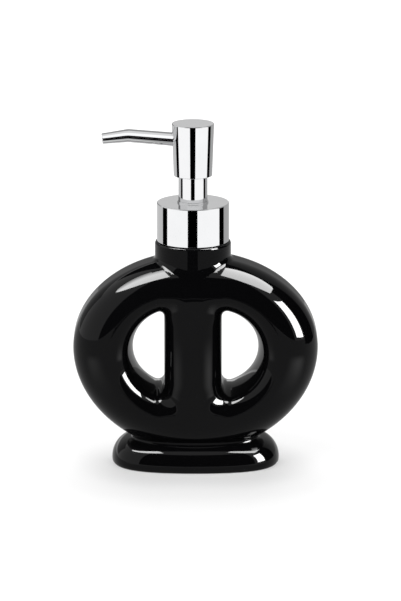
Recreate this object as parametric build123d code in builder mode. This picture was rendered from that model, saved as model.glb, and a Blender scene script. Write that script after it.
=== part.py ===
"""Soap pump dispenser: a ring-shaped glazed ceramic bottle with a chrome lotion pump.

Sizes are in millimetres. +Z is up, the bottle's front faces -Y and the spout points to -X.
The origin is the middle of the foot's underside.
"""
import os
from math import cos, radians, sin, tan

from build123d import *

os.makedirs("parts", exist_ok=True)

# Ring of the bottle: an oval with a rounded rim, widest at ring_level.
ring_width = 115.2
ring_rise = 44.0
ring_drop = 50.5
ring_level = 56.7
ring_depth = 45.0
ring_rim_radius = 18.0
ring_fullness_up = 0.555
ring_fullness_down = 0.536
wall = 4.0

# Column and the two D-shaped windows beside it. The column carries the neck.
pump_offset = 1.2
column_width = 27.0
window_share = 0.257
window_rise = 18.4
window_drop = 20.2
window_top_corner = 3.0
window_bottom_corner = 5.0
window_flare = 4.5
window_rim_radius = 3.5

# Foot of the bottle.
foot_width = 79.2
foot_depth = 50.4
foot_height = 12.4
foot_fullness = 0.72
foot_top_radius = 10.4
foot_edge_radius = 1.4
foot_recess = 3.0
foot_land = 7.0
waist_width = 61.0
waist_depth = 36.0
waist_reach = 5.0

# Neck of the bottle.
neck_diameter = 35.7
neck_top = 107.0
neck_wall = 4.5
neck_lip_radius = 0.9
neck_root_radius = 1.6

# Clearances.
bond_gap = 0.1
seat_gap = 0.05
running_gap = 0.06
free_gap = 0.3
ball_gap = 0.1

# Screw joint: 28 mm finish.
finish_diameter = 25.1
finish_wall = 2.45
finish_height = 12.3
insert_flange_gap = 0.4
insert_flange = 1.6
insert_spigot = 13.0
thread_pitch = 4.233
thread_turns = 1.25
thread_height = 1.1
thread_base = 2.3
thread_crest = 1.1
thread_side_gap = 0.35
thread_root_gap = 0.4
thread_end_gap = 0.25
thread_sink = 0.3
cap_thread_crest = 0.9
cap_thread_taper = 0.3
cap_bottom_gap = 0.4
cap_wall = 2.2

# Collar.
collar_height = 18.2
metal = 0.6
collar_lift = 0.3
collar_lip = 0.8
collar_lip_wall = 0.35
collar_lip_gap = 0.1
gasket_thickness = 1.5
flange_thickness = 1.6

# Stem, sleeve and travel.
stroke = 11.0
sleeve_engaged = 7.0
housing_gap = 0.29
stem_shown = 12.8
stem_diameter = 6.9
stem_bore = 3.4
bush_wall = 1.7
bush_floor = 1.6
bush_flange_reach = 0.9

# Head and spout.
head_height = 24.8
head_top_diameter = 19.9
head_bottom_diameter = 18.0
head_edge_radius = 0.4
head_top_wall = 0.8
core_spigot = 8.0
spout_level = 154.75
spout_rise_angle = 4.7
spout_fall_angle = 7.0
spout_bend_reach = 30.1
spout_reach = 42.3
spout_socket_reach = 3.6
spout_root_diameter = 6.4
spout_bend_diameter = 6.2
spout_tip_diameter = 5.0
spout_wall = 0.6

# Pump cylinder, piston and valves.
cylinder_bore = 12.0
cylinder_wall = 1.2
piston_height = 5.3
piston_flange = 1.5
piston_waist = 0.7
retainer_height = 1.5
retainer_diameter = 10.8
stem_tail = 2.0
spring_wire = 0.9
spring_diameter = 10.0
spring_length = 18.0
spring_turns = 6.5
cage_height = 2.0
cage_slot = 1.2
inlet_chamber = 6.0
inlet_ball_diameter = 5.0
inlet_bore = 4.0
inlet_floor = 2.0
inlet_side_gap = 0.7
outlet_ball_diameter = 4.0
outlet_chamber = 4.5
outlet_chamber_diameter = 5.2
outlet_web = 1.0
tube_diameter = 6.4
tube_bore = 4.4
tube_socket = 10.0
tube_floor_gap = 4.0
tube_slant = 3.0

# Levels that follow from the sizes above.
axis_x = -pump_offset
window_reach = ring_width * window_share
finish_top = neck_top + finish_height
flange_bottom = finish_top + gasket_thickness
flange_top = flange_bottom + flange_thickness
collar_bottom = neck_top + collar_lift
collar_top = collar_bottom + collar_height
cap_top = collar_top - metal
bush_top = cap_top - free_gap
head_bottom = collar_top + stem_shown
head_top = head_bottom + head_height
sleeve_top = head_bottom + metal
cavity_floor = ring_level - ring_drop + wall

sleeve_bottom = bush_top - sleeve_engaged
bush_cup = sleeve_bottom - stroke - free_gap
bush_bottom = bush_cup - bush_floor
upper_bore_bottom = bush_bottom - seat_gap
piston_top = upper_bore_bottom - seat_gap - piston_flange
piston_bottom = piston_top - piston_height
retainer_bottom = piston_bottom - seat_gap - retainer_height
spring_bottom = retainer_bottom - spring_length
cage_bottom = spring_bottom - cage_height
inlet_seat = cage_bottom - inlet_chamber
tube_top = inlet_seat - inlet_floor
housing_bottom = tube_top - tube_socket
stem_top = spout_level - stem_bore / 2 - outlet_chamber - outlet_web
stem_bottom = retainer_bottom - stem_tail

# Radii that follow from the sizes above.
neck_radius = neck_diameter / 2
neck_bore_radius = neck_radius - neck_wall
finish_radius = finish_diameter / 2
finish_bore_radius = finish_radius - finish_wall
upper_bore_radius = finish_bore_radius - housing_gap - cylinder_wall
thread_crest_radius = finish_radius + thread_height
cap_bore_radius = thread_crest_radius + thread_root_gap
cap_radius = cap_bore_radius + cap_wall
collar_bore_radius = cap_radius + seat_gap
collar_radius = collar_bore_radius + metal
insert_flange_radius = collar_bore_radius - insert_flange_gap
cap_crest_radius = finish_radius + free_gap
cap_base = thread_pitch - thread_crest - 2 * thread_side_gap - cap_thread_taper
bush_radius = upper_bore_radius - seat_gap
sleeve_radius = bush_radius - bush_wall - running_gap
sleeve_bore_radius = sleeve_radius - metal
stem_radius = stem_diameter / 2
collar_lip_bore = sleeve_radius + collar_lip_gap
collar_lip_radius = collar_lip_bore + collar_lip_wall
bush_flange_radius = upper_bore_radius + bush_flange_reach
cylinder_radius = cylinder_bore / 2
inlet_chamber_radius = inlet_ball_diameter / 2 + inlet_side_gap
tube_radius = tube_diameter / 2
core_radius = head_bottom_diameter / 2 - metal - seat_gap

section_plane = Plane(origin=(axis_x, 0, 0), x_dir=(1, 0, 0), z_dir=(0, -1, 0))
ring_plane = Plane(origin=(0, 0, ring_level), x_dir=(1, 0, 0), z_dir=(0, -1, 0))
pump_axis = Axis((axis_x, 0, 0), (0, 0, 1))


def outline(*points):
    """Returns the face inside a closed outline of (radius, height) points on the pump's axis plane."""
    with BuildSketch(section_plane) as face:
        with BuildLine():
            Polyline(*points, close=True)
        make_face()
    return face.sketch


def ring_face(inset):
    """Returns the ring's oval, drawn in by inset, in its own flat frame."""
    half = ring_width / 2 - inset
    rise = ring_rise - inset
    drop = ring_drop - inset
    up = ring_fullness_up
    down = ring_fullness_down
    with BuildSketch(Plane.XY) as face:
        with BuildLine():
            Bezier((half, 0), (half, up * rise), (up * half, rise), (0, rise))
            Bezier((0, rise), (-up * half, rise), (-half, up * rise), (-half, 0))
            Bezier((-half, 0), (-half, -down * drop), (-down * half, -drop), (0, -drop))
            Bezier((0, -drop), (down * half, -drop), (half, -down * drop), (half, 0))
        make_face()
    return face.sketch


def window_face(side, inset, flare):
    """Returns one D-shaped window, grown all round by inset and by flare on its curved side."""
    chord = axis_x + side * (column_width / 2 - inset)
    tip = side * (window_reach + inset + flare)
    top = window_rise + inset + flare
    bottom = -window_drop - inset - flare
    with BuildSketch(Plane.XY) as face:
        with BuildLine():
            Line((chord, bottom), (chord, top))
            ThreePointArc((chord, top), (tip, (top + bottom) / 2), (chord, bottom))
        make_face()
        fillet(face.vertices().sort_by(Axis.Y)[-1], window_top_corner + inset)
        fillet(face.vertices().sort_by(Axis.Y)[0], window_bottom_corner + inset)
    return face.sketch


def window_cutter(side, inset):
    """Returns the solid that opens one window, narrowest at mid-depth, wider towards both faces."""
    half_depth = ring_depth / 2 - inset
    reach = 1.08
    sections = []
    for share in (-reach, 0, reach):
        plane = ring_plane.offset(share * half_depth)
        sections.append(plane * window_face(side, inset, window_flare * share**2))
    with BuildPart() as cutter:
        loft(sections)
    return cutter.part


def ring_solid(inset):
    """Returns the ring with its column, drawn in by inset from the outer skin."""
    with BuildPart() as ring:
        extrude(ring_plane * ring_face(inset), amount=ring_depth / 2 - inset, both=True)
        fillet(ring.faces().filter_by(Axis.Y).edges(), ring_rim_radius - inset)
        for side in (-1, 1):
            add(window_cutter(side, inset), mode=Mode.SUBTRACT)
    return ring.part


def plan_face(width, depth, full):
    """Returns an oval plan; full sets how square its corners are."""
    half = width / 2
    deep = depth / 2
    with BuildSketch(Plane.XY) as face:
        with BuildLine():
            Bezier((half, 0), (half, full * deep), (full * half, deep), (0, deep))
            Bezier((0, deep), (-full * half, deep), (-half, full * deep), (-half, 0))
            Bezier((-half, 0), (-half, -full * deep), (-full * half, -deep), (0, -deep))
            Bezier((0, -deep), (full * half, -deep), (half, -full * deep), (half, 0))
        make_face()
    return face.sketch


def thread_ridge(start, root, crest, base_width, crest_width):
    """Returns one helical thread ridge that starts at height start."""
    with BuildPart() as ridge:
        with BuildLine(mode=Mode.PRIVATE) as path:
            Helix(thread_pitch, thread_pitch * thread_turns, root, center=(axis_x, 0, start))
        profile = outline(
            (root, start - base_width / 2),
            (crest, start - crest_width / 2),
            (crest, start + crest_width / 2),
            (root, start + base_width / 2),
        )
        sweep(profile, path=path.wire(), is_frenet=True)
    return ridge.part


def is_window_rim(edge):
    """Tells whether an edge of the ring lies on a window's outer rim, front or back."""
    middle = edge.position_at(0.5)
    box = edge.bounding_box()
    inside = abs(middle.X) < window_reach + window_flare + 2
    near_face = abs(middle.Y) > ring_depth / 2 - 4
    in_height = abs(middle.Z - ring_level) < window_drop + window_flare + 2
    return inside and near_face and in_height and box.size.Y < 6


def spout_point(reach):
    """Returns the point of the spout's rising centre line at a distance from the pump's axis."""
    return Vector(axis_x - reach, 0, spout_level + reach * tan(radians(spout_rise_angle)))


spout_direction = Vector(-cos(radians(spout_rise_angle)), 0, sin(radians(spout_rise_angle)))
spout_fall = Vector(-cos(radians(spout_fall_angle)), 0, -sin(radians(spout_fall_angle)))
spout_bend = spout_point(spout_bend_reach)
spout_tip = spout_bend + spout_fall * ((spout_reach - spout_bend_reach) / cos(radians(spout_fall_angle)))


def spout_bore(start_reach, end_reach, radius):
    """Returns a round bar on the spout's rising centre line between two distances from the axis."""
    length = (end_reach - start_reach) / cos(radians(spout_rise_angle))
    plane = Plane(origin=spout_point(start_reach), z_dir=spout_direction)
    with BuildPart() as bar:
        with BuildSketch(plane):
            Circle(radius)
        extrude(amount=length)
    return bar.part


def spout_solid(inset):
    """Returns the spout's tapering bent form, drawn in by inset."""
    start = spout_point(spout_socket_reach)
    stations = (
        (start, spout_direction, spout_root_diameter),
        (spout_bend, spout_direction, spout_bend_diameter),
        (spout_bend, spout_fall, spout_bend_diameter),
        (spout_tip, spout_fall, spout_tip_diameter),
    )
    sections = []
    for centre, direction, diameter in stations:
        with BuildSketch(Plane(origin=centre, x_dir=(0, 1, 0), z_dir=direction)) as ring:
            Circle(diameter / 2 - inset)
        sections.append(ring.sketch)
    with BuildPart() as tube:
        loft(sections[:2], ruled=True)
        loft(sections[2:], ruled=True)
        with Locations(spout_bend):
            Sphere(spout_bend_diameter / 2 - inset)
    return tube.part


with BuildPart() as bottle_body:
    add(ring_solid(0))
    fillet(bottle_body.edges().filter_by(is_window_rim), window_rim_radius)
    revolve(
        outline(
            (0, ring_level + ring_rise * 2 / 3),
            (neck_radius, ring_level + ring_rise * 2 / 3),
            (neck_radius, neck_top),
            (0, neck_top),
        ),
        axis=pump_axis,
    )
    neck_root = [edge for edge in bottle_body.edges(Select.NEW) if edge.bounding_box().max.Z < neck_top - 1]
    fillet(neck_root, neck_root_radius)
    fillet(bottle_body.faces().sort_by(Axis.Z)[-1].edges(), neck_lip_radius)
    with BuildPart(mode=Mode.PRIVATE) as foot:
        extrude(plan_face(foot_width, foot_depth, foot_fullness), amount=foot_height)
        fillet(foot.faces().sort_by(Axis.Z)[-1].edges(), foot_top_radius)
        fillet(foot.faces().sort_by(Axis.Z)[0].edges(), foot_edge_radius)
    add(foot.part)
    with BuildPart(mode=Mode.PRIVATE) as waist:
        low = Plane.XY.offset(foot_height - waist_reach)
        extrude(low * plan_face(waist_width, waist_depth, ring_fullness_down), amount=2 * waist_reach)
    add(waist.part)
    add(ring_solid(wall), mode=Mode.SUBTRACT)
    revolve(
        outline(
            (0, ring_level + ring_rise * 2 / 3),
            (neck_bore_radius, ring_level + ring_rise * 2 / 3),
            (neck_bore_radius, neck_top + 1),
            (0, neck_top + 1),
        ),
        axis=pump_axis,
        mode=Mode.SUBTRACT,
    )
    recess = plan_face(foot_width - 2 * foot_land, foot_depth - 2 * foot_land, foot_fullness)
    extrude(recess, amount=foot_recess, mode=Mode.SUBTRACT)
bottle_body.part.label = "bottle_body"
export_step(bottle_body.part, "parts/bottle_body.step")

with BuildPart() as neck_insert:
    revolve(
        outline(
            (finish_bore_radius, neck_top - insert_spigot),
            (neck_bore_radius - bond_gap, neck_top - insert_spigot),
            (neck_bore_radius - bond_gap, neck_top),
            (insert_flange_radius, neck_top),
            (insert_flange_radius, neck_top + insert_flange),
            (finish_radius, neck_top + insert_flange),
            (finish_radius, finish_top),
            (finish_bore_radius, finish_top),
        ),
        axis=pump_axis,
    )
    male_start = finish_top - thread_end_gap - thread_base / 2 - thread_pitch * thread_turns
    add(thread_ridge(male_start, finish_radius - thread_sink, thread_crest_radius, thread_base, thread_crest))
neck_insert.part.label = "neck_insert"
export_step(neck_insert.part, "parts/neck_insert.step")

with BuildPart() as closure_cap:
    cap_bottom = neck_top + insert_flange + cap_bottom_gap
    revolve(
        outline(
            (cap_bore_radius, cap_bottom),
            (cap_radius, cap_bottom),
            (cap_radius, cap_top),
            (bush_flange_radius + free_gap, cap_top),
            (bush_flange_radius + free_gap, flange_top + seat_gap),
            (cap_bore_radius, flange_top + seat_gap),
        ),
        axis=pump_axis,
    )
    female_start = male_start - thread_pitch / 2
    female_root = cap_bore_radius + thread_sink
    add(thread_ridge(female_start, female_root, cap_crest_radius, cap_base, cap_thread_crest))
closure_cap.part.label = "closure_cap"
export_step(closure_cap.part, "parts/closure_cap.step")

with BuildPart() as collar_shell:
    revolve(
        outline(
            (collar_bore_radius, collar_bottom),
            (collar_radius, collar_bottom),
            (collar_radius, collar_top),
            (collar_lip_radius, collar_top),
            (collar_lip_radius, collar_top + collar_lip),
            (collar_lip_bore, collar_top + collar_lip),
            (collar_lip_bore, cap_top),
            (collar_bore_radius, cap_top),
        ),
        axis=pump_axis,
    )
    rims = collar_shell.edges().filter_by(GeomType.CIRCLE).filter_by_position(Axis.Z, collar_top, collar_top)
    fillet(rims.sort_by(SortBy.RADIUS)[-1], metal / 2)
collar_shell.part.label = "collar_shell"
export_step(collar_shell.part, "parts/collar_shell.step")

with BuildPart() as neck_gasket:
    revolve(
        outline(
            (finish_bore_radius, finish_top),
            (finish_radius - bond_gap, finish_top),
            (finish_radius - bond_gap, flange_bottom),
            (finish_bore_radius, flange_bottom),
        ),
        axis=pump_axis,
    )
neck_gasket.part.label = "neck_gasket"
export_step(neck_gasket.part, "parts/neck_gasket.step")

with BuildPart() as pump_housing:
    revolve(
        outline(
            (upper_bore_radius, flange_top),
            (upper_bore_radius, upper_bore_bottom),
            (cylinder_radius, upper_bore_bottom),
            (cylinder_radius, cage_bottom),
            (inlet_chamber_radius, cage_bottom),
            (inlet_chamber_radius, inlet_seat),
            (inlet_bore / 2, inlet_seat),
            (inlet_bore / 2, tube_top),
            (tube_radius, tube_top),
            (tube_radius, housing_bottom),
            (tube_radius + cylinder_wall, housing_bottom),
            (tube_radius + cylinder_wall, cage_bottom - cylinder_wall),
            (cylinder_radius + cylinder_wall, cage_bottom - cylinder_wall),
            (cylinder_radius + cylinder_wall, upper_bore_bottom - cylinder_wall),
            (upper_bore_radius + cylinder_wall, upper_bore_bottom - cylinder_wall),
            (upper_bore_radius + cylinder_wall, flange_bottom),
            (finish_radius - bond_gap, flange_bottom),
            (finish_radius - bond_gap, flange_top),
        ),
        axis=pump_axis,
    )
pump_housing.part.label = "pump_housing"
export_step(pump_housing.part, "parts/pump_housing.step")

with BuildPart() as guide_bush:
    revolve(
        outline(
            (sleeve_radius + running_gap, bush_top),
            (sleeve_radius + running_gap, bush_cup),
            (stem_radius + running_gap, bush_cup),
            (stem_radius + running_gap, bush_bottom),
            (bush_radius, bush_bottom),
            (bush_radius, flange_top),
            (bush_flange_radius, flange_top),
            (bush_flange_radius, bush_top),
        ),
        axis=pump_axis,
    )
guide_bush.part.label = "guide_bush"
export_step(guide_bush.part, "parts/guide_bush.step")

with BuildPart() as ball_cage:
    revolve(
        outline(
            (inlet_ball_diameter * 0.38, cage_bottom),
            (cylinder_radius - seat_gap, cage_bottom),
            (cylinder_radius - seat_gap, spring_bottom),
            (inlet_ball_diameter * 0.38, spring_bottom),
        ),
        axis=pump_axis,
    )
    with BuildSketch(Plane(origin=(axis_x, 0, cage_bottom))):
        Rectangle(inlet_ball_diameter * 1.25, cage_slot)
        Rectangle(cage_slot, inlet_ball_diameter * 1.25)
    extrude(amount=cage_height, mode=Mode.SUBTRACT)
ball_cage.part.label = "ball_cage"
export_step(ball_cage.part, "parts/ball_cage.step")

with BuildPart() as inlet_ball:
    rest = ((inlet_ball_diameter / 2) ** 2 - (inlet_bore / 2) ** 2) ** 0.5
    with Locations((axis_x, 0, inlet_seat + rest + ball_gap)):
        Sphere(inlet_ball_diameter / 2)
inlet_ball.part.label = "inlet_ball"
export_step(inlet_ball.part, "parts/inlet_ball.step")

with BuildPart() as dip_tube:
    revolve(
        outline(
            (tube_bore / 2, cavity_floor + tube_floor_gap),
            (tube_radius, cavity_floor + tube_floor_gap),
            (tube_radius, tube_top),
            (tube_bore / 2, tube_top),
        ),
        axis=pump_axis,
    )
    slant = Plane(
        origin=(axis_x, 0, cavity_floor + tube_floor_gap + tube_slant / 2),
        z_dir=(tube_slant, 0, tube_diameter),
    )
    split(bisect_by=slant, keep=Keep.TOP)
dip_tube.part.label = "dip_tube"
export_step(dip_tube.part, "parts/dip_tube.step")

with BuildPart() as return_spring:
    with BuildLine() as coil:
        Helix(
            (spring_length - spring_wire) / spring_turns,
            spring_length - spring_wire,
            (spring_diameter - spring_wire) / 2,
            center=(axis_x, 0, spring_bottom + spring_wire / 2),
        )
    with BuildSketch(Plane(origin=coil.wire() @ 0, z_dir=coil.wire() % 0)):
        Circle(spring_wire / 2)
    sweep(path=coil.wire(), is_frenet=True)
return_spring.part.label = "return_spring"
export_step(return_spring.part, "parts/return_spring.step")

with BuildPart() as piston_seal:
    seal_radius = cylinder_radius - running_gap
    revolve(
        outline(
            (stem_radius + running_gap, piston_bottom),
            (seal_radius, piston_bottom),
            (seal_radius, piston_bottom + piston_height * 0.25),
            (seal_radius - piston_waist, piston_bottom + piston_height * 0.35),
            (seal_radius - piston_waist, piston_top - piston_height * 0.35),
            (seal_radius, piston_top - piston_height * 0.25),
            (seal_radius, piston_top - seat_gap),
            (stem_radius + running_gap, piston_top - seat_gap),
        ),
        axis=pump_axis,
    )
piston_seal.part.label = "piston_seal"
export_step(piston_seal.part, "parts/piston_seal.step")

with BuildPart() as piston_retainer:
    revolve(
        outline(
            (stem_radius, retainer_bottom),
            (retainer_diameter / 2, retainer_bottom),
            (retainer_diameter / 2, piston_bottom - seat_gap),
            (stem_radius, piston_bottom - seat_gap),
        ),
        axis=pump_axis,
    )
piston_retainer.part.label = "piston_retainer"
export_step(piston_retainer.part, "parts/piston_retainer.step")

with BuildPart() as pump_stem:
    revolve(
        outline(
            (stem_bore / 2, stem_bottom),
            (stem_radius, stem_bottom),
            (stem_radius, piston_top),
            (retainer_diameter / 2, piston_top),
            (retainer_diameter / 2, piston_top + piston_flange),
            (stem_radius, piston_top + piston_flange),
            (stem_radius, stem_top),
            (stem_bore / 2, stem_top),
        ),
        axis=pump_axis,
    )
pump_stem.part.label = "pump_stem"
export_step(pump_stem.part, "parts/pump_stem.step")

with BuildPart() as stem_sleeve:
    revolve(
        outline(
            (sleeve_bore_radius, sleeve_bottom),
            (sleeve_radius, sleeve_bottom),
            (sleeve_radius, sleeve_top),
            (sleeve_bore_radius, sleeve_top),
        ),
        axis=pump_axis,
    )
stem_sleeve.part.label = "stem_sleeve"
export_step(stem_sleeve.part, "parts/stem_sleeve.step")

with BuildPart() as head_core:
    core_bottom = sleeve_top - core_spigot
    core_top = head_top - head_top_wall
    outlet_chamber_top = stem_top + outlet_chamber
    outlet_bore = outlet_ball_diameter * 0.75
    revolve(
        outline(
            (stem_radius, core_bottom),
            (sleeve_bore_radius, core_bottom),
            (sleeve_bore_radius, sleeve_top),
            (core_radius, sleeve_top),
            (core_radius, core_top),
            (0, core_top),
            (0, spout_level + stem_bore / 2),
            (outlet_bore / 2, spout_level + stem_bore / 2),
            (outlet_bore / 2, outlet_chamber_top),
            (outlet_chamber_diameter / 2, outlet_chamber_top),
            (outlet_chamber_diameter / 2, stem_top),
            (stem_radius, stem_top),
        ),
        axis=pump_axis,
    )
    add(spout_bore(spout_socket_reach, core_radius + 2, spout_root_diameter / 2), mode=Mode.SUBTRACT)
    add(spout_bore(0, spout_socket_reach + 1, stem_bore / 2), mode=Mode.SUBTRACT)
head_core.part.label = "head_core"
export_step(head_core.part, "parts/head_core.step")

with BuildPart() as outlet_ball:
    rest = ((outlet_ball_diameter / 2) ** 2 - (stem_bore / 2) ** 2) ** 0.5
    with Locations((axis_x, 0, stem_top + rest + ball_gap)):
        Sphere(outlet_ball_diameter / 2)
outlet_ball.part.label = "outlet_ball"
export_step(outlet_ball.part, "parts/outlet_ball.step")

with BuildPart() as head_shell:
    revolve(
        outline(
            (head_bottom_diameter / 2 - metal, head_bottom),
            (head_bottom_diameter / 2, head_bottom),
            (head_top_diameter / 2, head_top),
            (0, head_top),
            (0, core_top),
            (head_top_diameter / 2 - metal, core_top),
        ),
        axis=pump_axis,
    )
    fillet(head_shell.edges().filter_by(GeomType.CIRCLE).sort_by(Axis.Z)[-1], head_edge_radius)
    hole = spout_bore(spout_socket_reach + 1, head_top_diameter, spout_root_diameter / 2 + seat_gap)
    add(hole, mode=Mode.SUBTRACT)
head_shell.part.label = "head_shell"
export_step(head_shell.part, "parts/head_shell.step")

with BuildPart() as spout_tube:
    add(spout_solid(0))
    add(spout_solid(spout_wall), mode=Mode.SUBTRACT)
spout_tube.part.label = "spout_tube"
export_step(spout_tube.part, "parts/spout_tube.step")
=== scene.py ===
"""Looks of a soap pump dispenser: a black glazed ring bottle with a chrome lotion pump.

Metres, +Z up, the bottle's front faces -Y and the spout points to -X.
"""

import logging
import math
from dataclasses import dataclass, field
from enum import Enum
from typing import Sequence

import bpy
import numpy as np
from bpy.types import ID, Collection, Material, Node, NodeSocket, NodeTree, Object
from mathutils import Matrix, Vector


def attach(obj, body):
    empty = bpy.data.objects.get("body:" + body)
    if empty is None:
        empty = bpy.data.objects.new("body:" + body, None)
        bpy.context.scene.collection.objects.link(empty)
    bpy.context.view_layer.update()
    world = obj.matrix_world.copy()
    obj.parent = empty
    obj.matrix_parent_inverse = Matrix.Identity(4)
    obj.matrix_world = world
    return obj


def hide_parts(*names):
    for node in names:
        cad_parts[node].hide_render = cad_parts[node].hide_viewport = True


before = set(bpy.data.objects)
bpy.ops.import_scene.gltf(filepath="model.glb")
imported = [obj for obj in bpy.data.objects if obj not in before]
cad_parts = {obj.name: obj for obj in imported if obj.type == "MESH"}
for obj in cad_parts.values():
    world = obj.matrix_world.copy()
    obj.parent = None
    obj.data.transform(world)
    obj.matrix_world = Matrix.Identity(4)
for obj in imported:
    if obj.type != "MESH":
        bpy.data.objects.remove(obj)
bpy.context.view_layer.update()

log = logging.getLogger("dispenser")
MM = 0.001
# Place of the pump's axis beside the ring's middle, in millimetres.
AXIS_X = -1.2
# Anything smaller counts as zero.
TINY = 1e-9
Point = tuple[float, float]
Corner = tuple[float, float, float]


class Body(Enum):
    """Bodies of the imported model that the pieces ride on."""

    BOTTLE = "bottle"
    COLLAR = "collar"
    HEAD = "head"


def linear(code: str) -> tuple[float, float, float, float]:
    """Turns an sRGB hex colour into linear RGBA.

    Args:
        code: colour as "#rrggbb".
    Returns:
        The linear colour with full alpha.
    """
    parts = [int(code[i:i + 2], 16) / 255 for i in (1, 3, 5)]
    rgb = [c / 12.92 if c <= 0.04045 else ((c + 0.055) / 1.055) ** 2.4 for c in parts]
    return (rgb[0], rgb[1], rgb[2], 1.0)


@dataclass
class Tree:
    """A node tree with short ways to add to it."""

    group: NodeTree

    def add(self, kind: str, inputs: dict | None = None, **settings: object) -> Node:
        """Adds one node with its settings, values and links.

        Args:
            kind: the node's type name.
            inputs: value or output socket for each input, by name or number.
            settings: attributes of the node.
        Returns:
            The new node.
        """
        node = self.group.nodes.new(kind)
        for name, value in settings.items():
            setattr(node, name, value)
        for key, value in (inputs or {}).items():
            if isinstance(value, NodeSocket):
                self.group.links.new(value, node.inputs[key])
            else:
                node.inputs[key].default_value = value
        return node

    def calc(self, operation: str, *values: float | NodeSocket, clamp: bool = False) -> NodeSocket:
        """Adds a sum of one type name, kept between 0 and 1 where clamp is set, and returns its result."""
        inputs = dict(enumerate(values))
        return self.add("ShaderNodeMath", inputs, operation=operation, use_clamp=clamp).outputs[0]

    def ramp(self, value: NodeSocket, span: Sequence, levels: Sequence, kind: str = "LINEAR") -> NodeSocket:
        """Adds a passage from one level to another.

        Args:
            value: what the passage follows.
            span: where it starts and ends.
            levels: the result before and after it.
            kind: the passage's type name.
        Returns:
            The socket of the result.
        """
        inputs = {"Value": value, "From Min": span[0], "From Max": span[1],
                  "To Min": levels[0], "To Max": levels[1]}
        return self.add("ShaderNodeMapRange", inputs, interpolation_type=kind).outputs["Result"]

    def ease(self, value: NodeSocket, span: Sequence, levels: Sequence) -> NodeSocket:
        """Adds a passage like a ramp, with a gentle start and end."""
        return self.ramp(value, span, levels, kind="SMOOTHSTEP")

    def shown_rays(self) -> tuple[NodeSocket, NodeSocket]:
        """Tells rays that show a surface from those that only carry its light.

        Returns:
            Sockets that are 1 for rays from eye, mirror or glass, and 1 for rays from a mirror alone.
        """
        path = self.add("ShaderNodeLightPath").outputs
        seen = self.calc("ADD", path["Is Camera Ray"], path["Is Glossy Ray"])
        return self.calc("ADD", seen, path["Is Transmission Ray"], clamp=True), path["Is Glossy Ray"]


def smooth_step(share: np.ndarray) -> np.ndarray:
    """Eases shares from 0 to 1 in and out."""
    return share * share * (3 - 2 * share)


def new_object(name: str, data: ID) -> Object:
    """Puts a new object in the scene.

    Args:
        name: the object's name.
        data: its mesh, lamp or camera.
    Returns:
        The object.
    """
    made = bpy.data.objects.new(name, data)
    bpy.context.scene.collection.objects.link(made)
    return made


def mesh_object(name: str, points: Sequence, faces: Sequence, material: Material,
                smooth: bool = False) -> Object:
    """Puts a new object with its own mesh in the scene.

    Args:
        name: the name of object and mesh.
        points: the mesh's points in metres.
        faces: the numbers of each face's points.
        material: its surface.
        smooth: whether its faces are shaded smoothly.
    Returns:
        The object.
    """
    mesh = bpy.data.meshes.new(name)
    mesh.from_pydata(points, [], faces)
    mesh.polygons.foreach_set("use_smooth", [smooth] * len(mesh.polygons))
    mesh.update()
    mesh.materials.append(material)
    return new_object(name, mesh)


def blank_material(name: str) -> tuple[Material, Tree]:
    """Makes a node material with an empty tree.

    Args:
        name: the material's name.
    Returns:
        The material and its tree.
    """
    material = bpy.data.materials.new(name)
    material.use_nodes = True
    material.node_tree.nodes.clear()
    return material, Tree(material.node_tree)


@dataclass(frozen=True)
class SurfaceFinish:
    """A solid finish whose colour and polish drift a little, as moulding, firing or plating leaves them."""

    name: str
    colour: str
    shade: str
    roughness: float
    patch_mm: float
    relief_mm: float
    relief: float = 0.2
    roughness_drift: float = 0.1
    metallic: float = 0.0
    ior: float = 1.5
    subsurface: float = 0.0
    subsurface_mm: float = 2.0
    patch_detail: float = 3.0
    patch_span: Point = (0.3, 0.7)
    relief_detail: float = 1.0
    relief_depth_mm: float = 0.1

    def material(self) -> Material:
        """Builds the finish out of nodes.

        Returns:
            The material.
        """
        material, tree = blank_material(self.name)
        place = tree.add("ShaderNodeTexCoord")

        def noise(size_mm: float, detail: float) -> NodeSocket:
            """Adds noise of one grain size, fixed to the piece."""
            inputs = {"Vector": place.outputs["Object"], "Scale": 1 / (size_mm * MM), "Detail": detail}
            return tree.add("ShaderNodeTexNoise", inputs, noise_dimensions="3D").outputs["Fac"]

        patches = noise(self.patch_mm, self.patch_detail)
        tone = tree.add("ShaderNodeMix",
                        {"Factor": patches, 6: linear(self.colour), 7: linear(self.shade)}, data_type="RGBA")
        polish = tree.ramp(patches, self.patch_span, (self.roughness, self.roughness + self.roughness_drift))
        ripple = noise(self.relief_mm, self.relief_detail)
        bump = tree.add("ShaderNodeBump",
                        {"Height": ripple, "Strength": self.relief, "Distance": self.relief_depth_mm * MM})
        shader = tree.add("ShaderNodeBsdfPrincipled",
                          {"Base Color": tone.outputs[2], "Roughness": polish, "Metallic": self.metallic,
                           "IOR": self.ior, "Normal": bump.outputs["Normal"],
                           "Subsurface Weight": self.subsurface, "Subsurface Scale": 1.0,
                           "Subsurface Radius": (self.subsurface_mm * MM,) * 3})
        tree.add("ShaderNodeOutputMaterial", {"Surface": shader.outputs["BSDF"]})
        return material


# Black gloss glaze on stoneware: fired smooth, mirror-like, with a faint ripple where it ran.
GLAZE = SurfaceFinish("black_gloss_glaze", "#050506", "#0a0a0b", roughness=0.025, roughness_drift=0.02,
                      patch_mm=45.0, relief_mm=14.0, relief=0.10, ior=1.27)
# Chrome plate on brass: polished mirror, slightly uneven plating.
CHROME = SurfaceFinish("polished_chrome_plate", "#d9d9da", "#d0d1d2", roughness=0.03, roughness_drift=0.02,
                       patch_mm=12.0, relief_mm=5.0, relief=0.012, metallic=1.0)
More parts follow.
